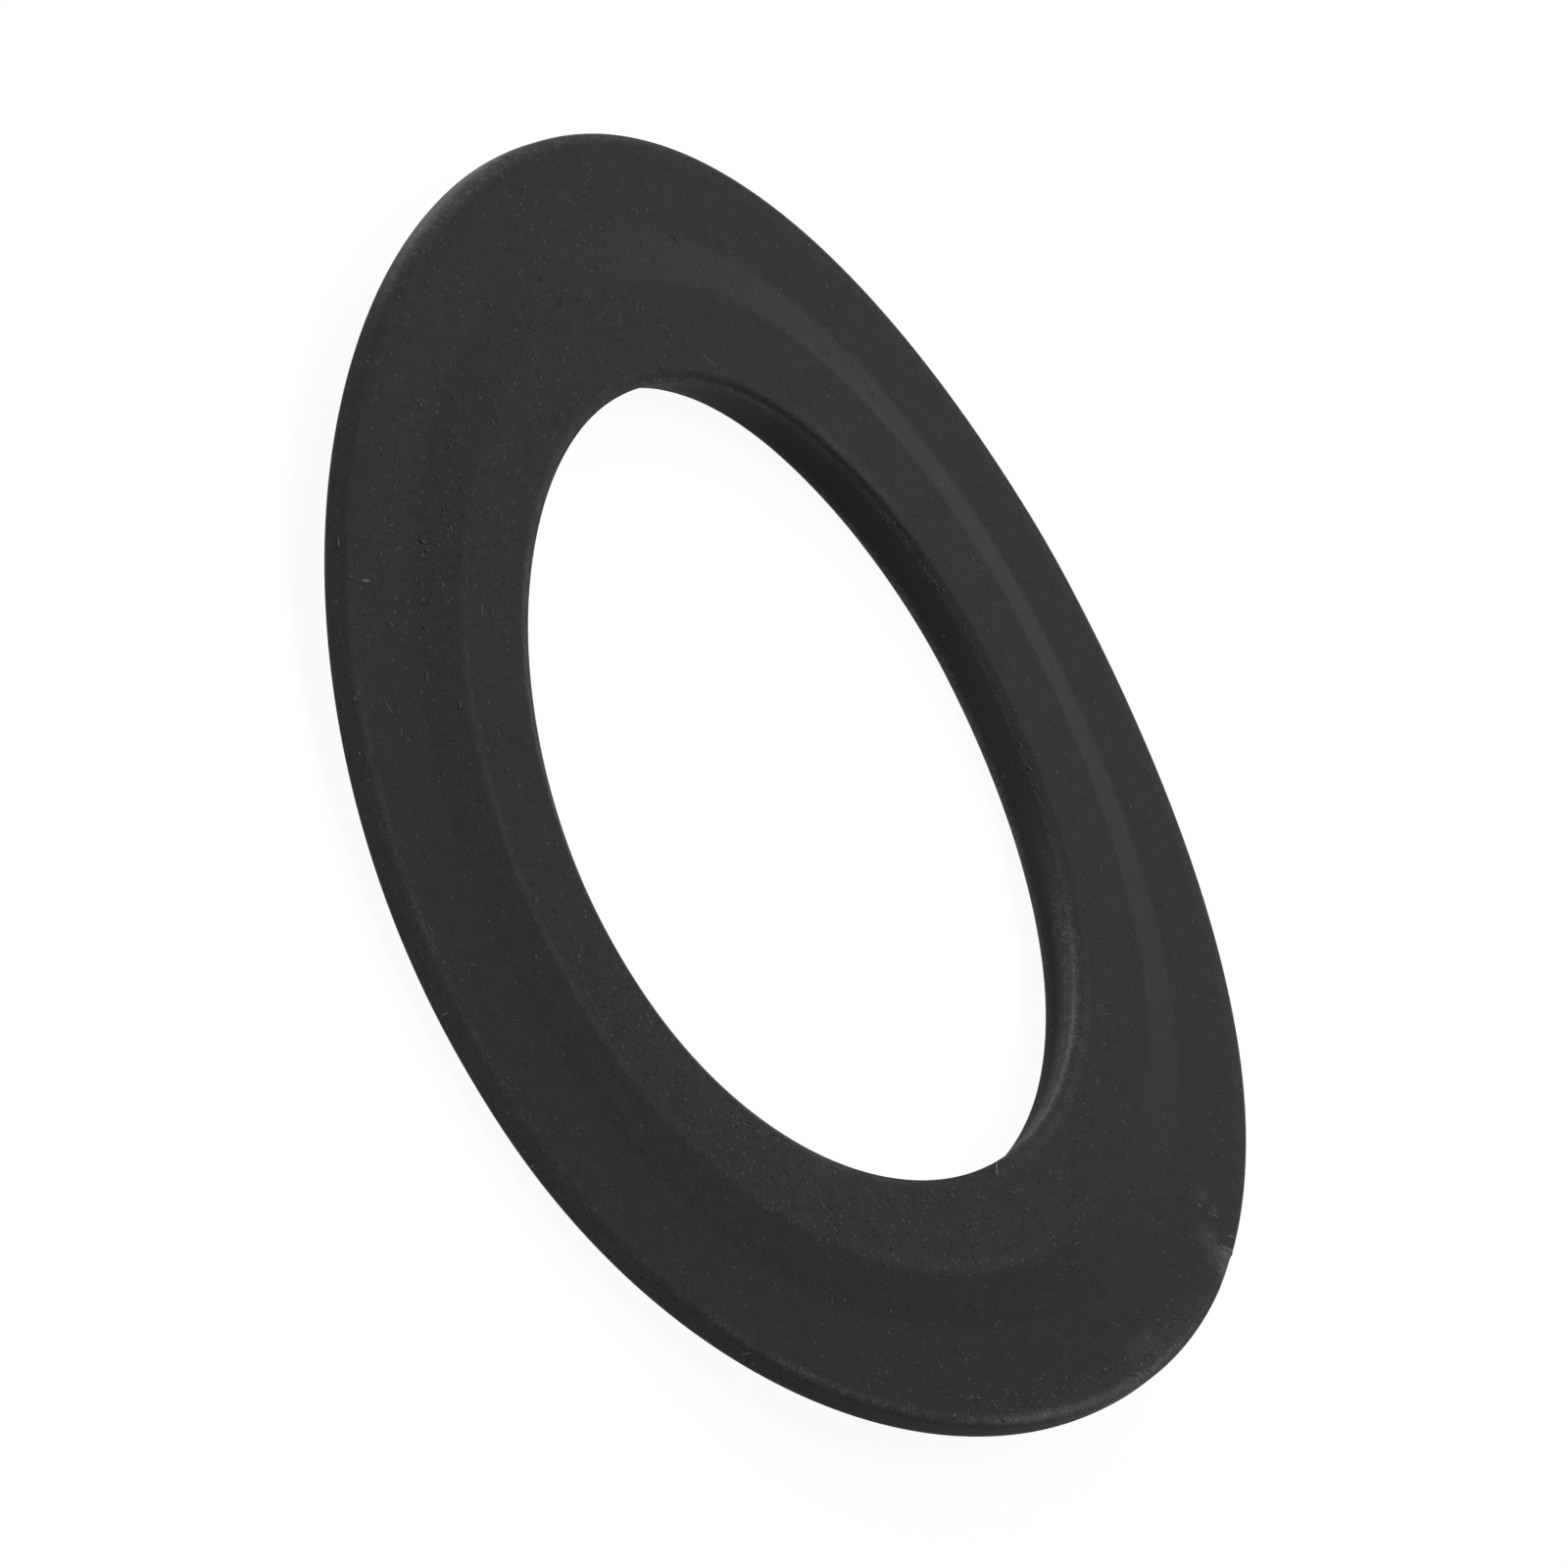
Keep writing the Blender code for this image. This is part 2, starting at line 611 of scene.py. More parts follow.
@dataclass(frozen=True)
class ScuffedNotch:
    """The one larger scuff on the rim: a shallow dent under a raised fold, rubbed pale.

    The dent is a wedge. It is deepest at the rim beside the fold and runs out along the rim.

    Attributes:
        fold_angle: where the fold crosses the middle radius, in degrees round the bore.
        fold_lean: degrees that the fold turns for each millimetre outward.
        far_angle: where the dent runs out.
        inner_radius: how far in the dent reaches beside the fold.
        rim_radius: how far out it reaches.
        middle_radius: the radius at which its length is taken.
        depth: how deep it is, in millimetres.
        drop: how far from the fold it has reached its depth, in millimetres.
        slope: how far from its inner edge it has reached its depth, in millimetres.
        fold_height: how far the fold stands up, in millimetres.
        fold_half_width: half of the fold's width.
        fold_full: the share of that half over which it is full.
        fold_start: the radii between which the fold sets in.
        dent_talc: how pale the dent is rubbed.
        fold_talc: how pale the fold is rubbed.
    """

    fold_angle: float = 193.6
    fold_lean: float = 0.75
    far_angle: float = 188.6
    inner_radius: float = 30.3
    rim_radius: float = 31.4
    middle_radius: float = 31.0
    depth: float = 0.06
    drop: float = 0.2
    slope: float = 0.6
    fold_height: float = 0.05
    fold_half_width: float = 0.10
    fold_full: float = 0.2
    fold_start: tuple[float, float] = (30.4, 30.8)
    dent_talc: float = 0.60
    fold_talc: float = 0.62

    def shares(self, angle: np.ndarray, radius: np.ndarray) -> tuple[np.ndarray, np.ndarray]:
        """How far each point lies inside the dent, and on the fold.

        Args:
            angle: angles of the points in degrees.
            radius: their distances from the bore's axis.

        Returns:
            The dent's share and the fold's share, from 0 to 1.
        """
        lean = self.fold_lean * (radius - self.middle_radius)
        past_fold = np.radians(self.fold_angle + lean - angle) * radius
        length = math.radians(self.fold_angle - self.far_angle) * self.middle_radius
        reach = np.sqrt(np.clip(1 - past_fold / length, 0.0, 1.0))
        inner = self.rim_radius - (self.rim_radius - self.inner_radius) * reach
        dent = smooth_step(past_fold, 0.0, self.drop) * reach
        dent = dent * smooth_step(radius - inner, 0.0, self.slope)
        fold_core = self.fold_full * self.fold_half_width
        fold = band(past_fold, 0.0, fold_core, self.fold_half_width)
        return dent, fold * smooth_step(radius, *self.fold_start)


@dataclass(frozen=True)
class Mark:
    """A fleck of dust, a bit of fluff or a small scuff that lies on the skin.

    Attributes:
        angle: where it lies round the bore, in degrees.
        radius: its distance from the bore's axis; ignored on the rim's wall.
        length: its longer side, in millimetres.
        width: its shorter side, in millimetres.
        heading: direction of its length: 0 along the radius or up the wall, 90 round the ring.
        tone: how pale its middle is, from 0 for bare rubber to 1 for bright dust.
        kind: what it is, which gives its height.
        wall_height: height of its middle where it lies on the rim's wall, or 0 for the front face.
    """

    angle: float
    radius: float
    length: float
    width: float
    heading: float = 0.0
    tone: float = 0.5
    kind: MarkKind = MarkKind.DUST
    wall_height: float = 0.0


@dataclass(frozen=True)
class DustPatch:
    """A region of the front face that caught more dust than the rest.

    Attributes:
        angle: its middle round the bore, in degrees.
        half_angle: half of its length, in degrees.
        inner_radius: where it starts.
        outer_radius: where it ends.
        count: the flecks in it.
        size: their usual size in millimetres.
        tone: their usual tone.
        fluff_share: the share of them that is long and thin.
        size_range: smallest and largest size, as shares of the usual one.
        tone_range: darkest and palest tone, as shares of the usual one.
        fleck_range: shortest and longest fleck, as shares of its width.
        fluff_range: shortest and longest fluff, as shares of its size.
        fluff_width: width of fluff, as a share of its size.
    """

    angle: float
    half_angle: float
    inner_radius: float
    outer_radius: float
    count: int
    size: float
    tone: float
    fluff_share: float
    size_range: tuple[float, float] = (0.6, 1.35)
    tone_range: tuple[float, float] = (0.4, 1.3)
    fleck_range: tuple[float, float] = (1.0, 1.5)
    fluff_range: tuple[float, float] = (2.2, 4.5)
    fluff_width: float = 0.8

    def marks(self, chance: np.random.Generator) -> list[Mark]:
        """Strews the flecks.

        Args:
            chance: the random numbers to draw from.

        Returns:
            The flecks of this patch.
        """
        found = []
        for _ in range(self.count):
            angle = self.angle + self.half_angle * chance.uniform(-1.0, 1.0)
            radius = chance.uniform(self.inner_radius, self.outer_radius)
            size = self.size * chance.uniform(*self.size_range)
            tone = self.tone * chance.uniform(*self.tone_range)
            heading = chance.uniform(0.0, 180.0)
            if chance.random() < self.fluff_share:
                length, width = size * chance.uniform(*self.fluff_range), size * self.fluff_width
                found.append(Mark(angle, radius, length, width, heading, tone, MarkKind.FLUFF))
            else:
                length = size * chance.uniform(*self.fleck_range)
                found.append(Mark(angle, radius, length, size, heading, tone))
        return found


@dataclass(frozen=True)
class Spots:
    """A spotty pattern in the rubber's skin.

    Attributes:
        size: the spots' size in millimetres.
        detail: how many finer patterns lie on top.
        low: the value of the pattern that becomes 0.
        high: the value that becomes 1.
    """

    size: float
    detail: float
    low: float
    high: float


@dataclass(frozen=True)
class MouldedRubber:
    """Black EPDM rubber, compression moulded in a spark-eroded steel mould.

    The spark-eroded faces of the mould give it a matt, finely grained skin that hardly shines. The
    bore, trimmed and rubbed on its boss, is a little smoother. Talc from storage clings in the grain
    and lies as pale powder along the edges. Its colour also holds painted shade, in the grain's
    hollows, in dark pits and in a few darker places, and painted highlights along edges of the bore
    and rim.

    Attributes:
        hollow_shade_hex: colour of the hollows between the grain's crowns, darker as painted shade.
        crown_hex: colour of the crowns.
        bore_hex: colour of the bore's wall.
        pit_shade_hex: colour of the dark pits, the painted shade inside them.
        talc_and_highlight_hex: colour of talc, and of the painted highlights along some edges.
        painted_shade_hex: colour towards which the painted shade darkens the skin.
        roughness: roughness of the grained skin.
        bore_roughness: roughness of the bore's wall.
        ior: refractive index of the rubber.
        specular_level: how much the grained skin shines; low, as its grain scatters the shine.
        bore_specular_level: how much the bore's wall shines.
        mottle_share: how much the mottle counts beside the grain.
        dot_spacing: distance between the places for a dot, in millimetres.
        dot_edge: where a dot ends, as a share of that distance.
        dot_core: where it is full, as a share of that distance.
        shaded_pit_share: the share of the dots that are dark pits, painted as shade, and not talc.
        talc_dot_strength: how strong a dot of talc is beside a pit.
        thin_talc: the amount of powder that counts as thin.
        thick_talc: the amount that counts as thick.
        thin_breaks: how far thin powder breaks up into grains.
        thick_breaks: how far thick powder does.
        bump_height: height of the grain in millimetres.
        bump_strength: how strongly that height tilts the skin.
    """

    hollow_shade_hex: str = "#202020"
    crown_hex: str = "#303030"
    bore_hex: str = "#252525"
    pit_shade_hex: str = "#0c0c0c"
    talc_and_highlight_hex: str = "#6e6e6e"
    painted_shade_hex: str = "#000000"
    roughness: float = 0.70
    bore_roughness: float = 0.66
    ior: float = 1.5
    specular_level: float = 0.08
    bore_specular_level: float = 0.04

    # A spark-eroded grain is a few hundredths of a millimetre wide and too fine to show, so the
    # grain, the talc in it and the dots are drawn as coarse as they need to be seen.
    grain: Spots = Spots(0.13, 1.0, 0.25, 0.75)
    mottle: Spots = Spots(1.1, 3.0, 0.3, 0.7)
    talc_grain: Spots = Spots(0.16, 2.0, 0.40, 0.64)
    talc_patch: Spots = Spots(0.8, 2.0, 0.30, 0.60)
    dot_spacing: float = 0.31

    mottle_share: float = 0.22
    dot_edge: float = 0.36
    dot_core: float = 0.12
    shaded_pit_share: float = 0.52
    talc_dot_strength: float = 0.28
    thin_talc: float = 0.3
    thick_talc: float = 0.9
    thin_breaks: float = 0.75
    thick_breaks: float = 0.35
    bump_height: float = 0.012
    bump_strength: float = 0.35

    def material(self) -> bpy.types.Material:
        """Builds the material.

        Returns:
            The rubber's material.
        """
        material, tree = new_tree("moulded_epdm_rubber")
        held = {}
        for name in ("flat_place", "bore", "talc", "dust", "painted_shade"):
            held[name] = add_node(tree, "ShaderNodeAttribute", attribute_name=name).outputs
        place, bore = held["flat_place"]["Vector"], held["bore"]["Fac"]
        patterns = {
            "grain": self.grain,
            "mottle": self.mottle,
            "talc_grain": self.talc_grain,
            "talc_patch": self.talc_patch,
        }
        spots = {}
        for name, pattern in patterns.items():
            links = {"Vector": place, "Scale": 1 / pattern.size, "Detail": pattern.detail}
            noise = add_node(tree, "ShaderNodeTexNoise", links).outputs["Fac"]
            links = {"Value": noise, "From Min": pattern.low, "From Max": pattern.high}
            spots[name] = add_node(tree, "ShaderNodeMapRange", links).outputs["Result"]

        # Painted shade darkens the grain's hollows below its crowns, and the bore is a little darker.
        links = {0: self.mottle_share, 2: spots["grain"], 3: spots["mottle"]}
        relief = add_node(tree, "ShaderNodeMix", links).outputs[0]
        links = {0: relief, 6: linear(self.hollow_shade_hex), 7: linear(self.crown_hex)}
        colour = add_node(tree, "ShaderNodeMix", links, data_type="RGBA").outputs[2]
        links = {0: bore, 6: colour, 7: linear(self.bore_hex)}
        colour = add_node(tree, "ShaderNodeMix", links, data_type="RGBA").outputs[2]

        # Talc and pits speckle it, the pits being painted shade. More painted shade darkens it in places,
        # and powder and painted highlights pale its edges.
        colour = self.speckled(tree, place, held["dust"]["Fac"], colour)
        links = {0: held["painted_shade"]["Fac"], 6: colour, 7: linear(self.painted_shade_hex)}
        colour = add_node(tree, "ShaderNodeMix", links, data_type="RGBA").outputs[2]
        colour = self.powdered_and_highlit(tree, spots, held["talc"]["Fac"], colour)

        # The skin is matt, and the bore's is a little smoother and still duller.
        links = {0: bore, 2: self.roughness, 3: self.bore_roughness}
        roughness = add_node(tree, "ShaderNodeMix", links).outputs[0]
        links = {0: bore, 2: self.specular_level, 3: self.bore_specular_level}
        shine = add_node(tree, "ShaderNodeMix", links).outputs[0]
        height = self.bump_height * MM
        links = {"Strength": self.bump_strength, "Distance": height, "Height": spots["grain"]}
        bump = add_node(tree, "ShaderNodeBump", links).outputs["Normal"]
        links = {
            "Base Color": colour,
            "Roughness": roughness,
            "IOR": self.ior,
            "Specular IOR Level": shine,
            "Normal": bump,
        }
        shader = add_node(tree, "ShaderNodeBsdfPrincipled", links).outputs["BSDF"]
        add_node(tree, "ShaderNodeOutputMaterial", {"Surface": shader})
        return material

    def speckled(self, tree: bpy.types.NodeTree, place: bpy.types.NodeSocket,
                 dust: bpy.types.NodeSocket, colour: bpy.types.NodeSocket) -> bpy.types.NodeSocket:
        """Lays pale talc and dark pits, painted shade, on the skin as small dots, more where it is dusty.

        Args:
            tree: the material's node tree.
            place: the flat washer's coordinates in millimetres.
            dust: the share of the places for a dot that hold one.
            colour: the skin without them.

        Returns:
            The skin with them.
        """
        links = {"Vector": place, "Scale": 1 / self.dot_spacing, "Randomness": 1.0}
        cells = add_node(tree, "ShaderNodeTexVoronoi", links).outputs
        links = {"Value": cells["Distance"], "From Min": self.dot_edge, "From Max": self.dot_core}
        amount = add_node(tree, "ShaderNodeMapRange", links).outputs["Result"]

        # Three random numbers for each place say whether it holds a dot, how strong, and of which kind.
        chance = add_node(tree, "ShaderNodeSeparateColor", {0: cells["Color"]}).outputs
        links = {0: chance[0], 1: dust}
        kept = add_node(tree, "ShaderNodeMath", links, operation="LESS_THAN").outputs[0]
        links = {0: chance[2], 1: self.shaded_pit_share}
        shaded_pit = add_node(tree, "ShaderNodeMath", links, operation="LESS_THAN").outputs[0]
        links = {0: shaded_pit, 2: self.talc_dot_strength, 3: 1.0}
        strength = add_node(tree, "ShaderNodeMix", links).outputs[0]
        for factor in (kept, chance[1], strength):
            links = {0: amount, 1: factor}
            amount = add_node(tree, "ShaderNodeMath", links, operation="MULTIPLY").outputs[0]
        # A pit's near-black colour is painted shade inside it.
        links = {0: shaded_pit, 6: linear(self.talc_and_highlight_hex), 7: linear(self.pit_shade_hex)}
        dot_colour = add_node(tree, "ShaderNodeMix", links, data_type="RGBA").outputs[2]
        links = {0: amount, 6: colour, 7: dot_colour}
        return add_node(tree, "ShaderNodeMix", links, data_type="RGBA").outputs[2]

    def powdered_and_highlit(self, tree: bpy.types.NodeTree, spots: dict[str, bpy.types.NodeSocket],
                 talc: bpy.types.NodeSocket, colour: bpy.types.NodeSocket) -> bpy.types.NodeSocket:
        """Lays talc on the edges as powder, which breaks up into grains, less so where it is thick, and
        with it the painted highlights along some edges, which break up the same way.

        Args:
            tree: the material's node tree.
            spots: the skin's spotty patterns by name.
            talc: how much powder and painted highlight there is.
            colour: the skin without it.

        Returns:
            The skin with it.
        """
        links = {0: spots["talc_grain"], 1: spots["talc_patch"]}
        grains = add_node(tree, "ShaderNodeMath", links, operation="MULTIPLY").outputs[0]
        links = {
            "Value": talc,
            "From Min": self.thin_talc,
            "From Max": self.thick_talc,
            "To Min": self.thin_breaks,
            "To Max": self.thick_breaks,
        }
        breaks = add_node(tree, "ShaderNodeMapRange", links).outputs["Result"]
        cover = add_node(tree, "ShaderNodeMix", {0: breaks, 2: 1.0, 3: grains}).outputs[0]
        links = {0: talc, 1: cover}
        powder = add_node(tree, "ShaderNodeMath", links, operation="MULTIPLY").outputs[0]
        links = {0: powder, 6: colour, 7: linear(self.talc_and_highlight_hex)}
        return add_node(tree, "ShaderNodeMix", links, data_type="RGBA").outputs[2]


@dataclass(frozen=True)
class DustAndFluff:
    """Loose talc, cotton fluff and rubbed rubber on the skin.

    Powder and lint scatter light and hardly shine, so they look like pale, dull specks, each with a
    dark foot where it shades the rubber.
    """

    foot_hex: str = "#1e1e1e"
    rubber_hex: str = "#282828"
    dust_hex: str = "#5c5c5c"
    roughness: float = 0.9
    ior: float = 1.5
    specular_level: float = 0.1

    def material(self) -> bpy.types.Material:
        """Builds the material.

        Returns:
            The material of the marks.
        """
        material, tree = new_tree("talc_dust_and_fluff")
        tone = add_node(tree, "ShaderNodeAttribute", attribute_name="tone").outputs["Fac"]
        ramp = add_node(tree, "ShaderNodeValToRGB", {"Fac": tone})
        stops = ramp.color_ramp.elements
        stops[0].position, stops[0].color = 0.0, linear(self.foot_hex)
        stops[1].position, stops[1].color = 1.0, linear(self.dust_hex)
        middle = stops.new(BARE_TONE)
        middle.color = linear(self.rubber_hex)
        links = {
            "Base Color": ramp.outputs["Color"],
            "Roughness": self.roughness,
            "IOR": self.ior,
            "Specular IOR Level": self.specular_level,
        }
        shader = add_node(tree, "ShaderNodeBsdfPrincipled", links).outputs["BSDF"]
        add_node(tree, "ShaderNodeOutputMaterial", {"Surface": shader})
        return material


@dataclass
class Washer:
    """The seal's body: its turned and curled mesh and its rubber.

    Attributes:
        section: the seal's section.
        curl: the set that the rubber has taken.
        finish: its rubber.
        notch: the scuff on its rim.
        painted_shade: the painted shade on its skin.
        row_step: degrees between two repeats of the section.
        notch_step: the same at the notch.
        notch_margins: degrees before and after the notch that have the finer step.
        notch_gap: degrees kept clear between the two steps.
        front_depth: how far below the flange's front face the skin still counts as front.
        dust_everywhere: the least share of the places for a dot that hold one.
    """

    section: WasherSection
    curl: Curl
    finish: MouldedRubber = field(default_factory=MouldedRubber)
    notch: ScuffedNotch = field(default_factory=ScuffedNotch)
    painted_shade: PaintedShade = field(default_factory=PaintedShade)
    row_step: float = 0.72
    notch_step: float = 0.12
    notch_margins: tuple[float, float] = (1.0, 2.0)
    notch_gap: float = 0.3
    front_depth: float = 0.5
    dust_everywhere: float = 0.13

    def stretches(self) -> list[PaleStretch]:
        """The pale stretches: rubbed rim, powdered edges, hazy places and painted highlights.

        Returns:
            The stretches, with the rim first.
        """
        front, hub = self.section.flange_front, self.section.hub_front
        crest = hub - self.section.bore_crest_depth
        return [
            # The raised left end, paler on its rim and most of all low on its wall: partly rubbed and
            # partly a painted highlight where it faces the light
            PaleStretch(1.0, 26.0, 31.5, 1.15, 0.9, 0.84),
            PaleStretch(352.0, 30.0, 31.4, front - 0.1, 0.6, 0.32),
            PaleStretch(5.0, 60.0, 28.5, front, 4.0, 0.015),
            # The low side: powder in a line on the rim, and on the wall past the lower end
            PaleStretch(140.0, 32.0, 31.32, front, 0.34, 0.32),
            PaleStretch(166.0, 24.0, 31.3, front, 0.50, 0.40),
            PaleStretch(178.0, 20.0, 31.5, 1.4, 0.9, 0.36),
            PaleStretch(174.0, 22.0, 30.9, front, 1.4, 0.08),
            # The rim's front edge and the hub's edge along the left
            PaleStretch(84.0, 52.0, 31.30, front - 0.03, 0.32, 0.18),
            PaleStretch(76.0, 44.0, 24.15, hub, 0.38, 0.13),
            PaleStretch(152.0, 24.0, 23.9, hub, 0.5, 0.05),
            # The rim's front edge along the right
            PaleStretch(262.0, 88.0, 31.3, front - 0.05, 1.1, 0.16),
            PaleStretch(258.0, 88.0, 31.45, front - 0.25, 0.5, 0.30),
            # The bore's front edge and its crest: painted highlights along both edges, and a faint haze of
            # dust beside the bore at the left
            PaleStretch(30.0, 75.0, 19.70, crest + 0.15, 0.60, 0.28),
            PaleStretch(112.0, 46.0, 19.9, hub, 2.2, 0.06),
            PaleStretch(300.0, 16.0, 20.25, hub, 0.5, 0.14),
            PaleStretch(336.0, 34.0, 19.55, crest + 0.06, 0.24, 0.24),
            PaleStretch(195.0, 34.0, 19.46, crest, 0.20, 0.30),
            PaleStretch(195.0, 34.0, 20.10, hub, 0.40, 0.12),
            # The bore's wall: painted highlights along its upper half at the right and along its back edge
            PaleStretch(203.0, 45.0, 19.50, 2.00, 1.0, 0.38),
            PaleStretch(178.0, 14.0, 19.55, 1.3, 0.7, 0.28),
            PaleStretch(264.0, 82.0, 19.85, 0.0, 0.8, 0.62),
            # The hub's edge at the upper right
            PaleStretch(300.0, 14.0, 24.5, hub - 0.05, 0.5, 0.08),
            # The thumbed places near the notch
            PaleStretch(173.7, 3.6, 30.1, front, 0.8, 0.16),
            PaleStretch(197.6, 1.8, 28.9, front, 0.4, 0.26),
            PaleStretch(196.6, 1.2, 29.9, front, 0.3, 0.22),
            PaleStretch(193.0, 2.2, 29.9, front, 0.9, 0.22),
            PaleStretch(191.2, 1.6, 30.4, front, 0.6, 0.20),
        ]

    def uneven_stretches(self) -> list[UnevenStretch]:
        """The places where the bore and rim leave the true circle.

        Returns:
            The stretches, those of the bore first.
        """
        crest_height = self.section.hub_front - self.section.bore_crest_depth
        return [
            # A lip of flash left on the crest along the near side of the bore
            UnevenStretch(44.0, 48.0, 19.45, crest_height, 0.6, -0.27),
            # The back edge of the bore, trimmed a little wide at the far upper end
            UnevenStretch(328.0, 32.0, 19.8, 0.0, 1.2, 0.10),
            # The rim, pushed out a little beside the notch and along the far side
            UnevenStretch(184.0, 24.0, 31.5, 1.4, 2.5, 0.10),
            UnevenStretch(252.0, 30.0, 31.5, 1.4, 2.5, 0.07),
        ]

    def row_angles(self) -> np.ndarray:
        """The angles round the bore at which the section is repeated, closer together at the notch.

        Returns:
            Angles in degrees, rising from 0.
        """
        coarse = np.arange(0.0, 360.0, self.row_step)
        start = self.notch.far_angle - self.notch_margins[0]
        end = self.notch.fold_angle + self.notch_margins[1]
        fine = np.arange(start, end, self.notch_step)
        outside = coarse[(coarse < start - self.notch_gap) | (coarse > end + self.notch_gap)]
        return np.sort(np.concatenate([outside, fine]))

    def dusty_areas(self) -> list[Area]:
        """The areas whose grain holds more loose talc than the rest, or less.

        Returns:
            The areas, the cleaner one first.
        """
        return [
            # The right
            Area(-0.04, 250.0, 40.0, 70.0),
            # The upper left, the flange's lower end and the low side of the hub
            Area(0.36, 18.0, 18.0, 52.0),
            Area(0.24, 165.0, 15.0, 50.0, inner_edge=(28.0, 30.5)),
            Area(0.84, 130.0, 30.0, 62.0, outer_edge=(24.2, 24.6)),
            # The left beside the bore
            Area(0.10, 60.0, 30.0, 70.0, outer_edge=(20.5, 23.0)),
        ]

    def dust(self, angle: np.ndarray, radius: np.ndarray) -> np.ndarray:
        """How much loose talc the grain holds, and how many pits it has, painted dark as shade.

        Args:
            angle: angles of the points in degrees.
            radius: their distances from the bore's axis.

        Returns:
            The share of the places for a dot that hold one.
        """
        share = self.dust_everywhere + sum(area.amount(angle, radius) for area in self.dusty_areas())
        return np.clip(share, 0.0, 1.0)

    def mesh(self) -> bpy.types.Mesh:
        """Turns the section, leaves the notch in it and curls it.

        Returns:
            The washer's mesh, with what its rubber reads at each point.
        """
        outline, zones = self.section.outline()
        angles = self.row_angles()
        rows, across = len(angles), len(outline)
        turn = np.repeat(angles, across)
        radius = np.tile(outline[:, 0], rows)
        height = np.tile(outline[:, 1], rows)
        on_front = height > self.section.flange_front - self.front_depth
        dent, fold = (share * on_front for share in self.notch.shares(turn, radius))
        moved = radius + sum(stretch.offset(turn, radius, height) for stretch in self.uneven_stretches())
        height = height - self.notch.depth * dent + self.notch.fold_height * fold
        turned = np.radians(turn)
        flat = np.stack([moved * np.cos(turned), moved * np.sin(turned), height], 1)
        mesh = smooth_mesh("washer", self.curl.place(flat), self.faces(rows, across))

        # The talc layer holds powder and also the painted highlights along edges of the bore and rim.
        talc = sum(stretch.amount(turn, radius, height) for stretch in self.stretches())
        talc = talc + self.notch.dent_talc * np.sqrt(dent) + self.notch.fold_talc * fold
        in_bore = [float(zone is Zone.BORE_WALL) for zone in zones]
        store(mesh, "flat_place", flat)
        store(mesh, "talc", np.clip(talc, 0.0, 1.0))
        store(mesh, "dust", self.dust(turn, radius))
        store(mesh, "painted_shade", self.painted_shade.amount(turn, radius, height))
        store(mesh, "bore", np.tile(np.array(in_bore), rows))
        return mesh

    def faces(self, rows: int, across: int) -> list[list[int]]:
        """The faces between the repeats of the section.

        Args:
            rows: how many repeats there are round the ring.
            across: the points of each.

        Returns:
            The four point numbers of each face.
        """
        row, column = np.meshgrid(np.arange(rows), np.arange(across), indexing="ij")
        next_row, next_column = (row + 1) % rows, (column + 1) % across
        corners = [
            row * across + column,
            row * across + next_column,
            next_row * across + next_column,
            next_row * across + column,
        ]
        return np.stack(corners, -1).reshape(-1, 4).tolist()

    def build(self) -> bpy.types.Object:
        """Makes the washer and dresses it.

        Returns:
            The washer, riding on the part's one body and standing for its CAD node.
        """
        washer = linked("washer", self.mesh())
        washer.data.materials.append(self.finish.material())
        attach(washer, BODY)
        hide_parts(NODE)
        return washer


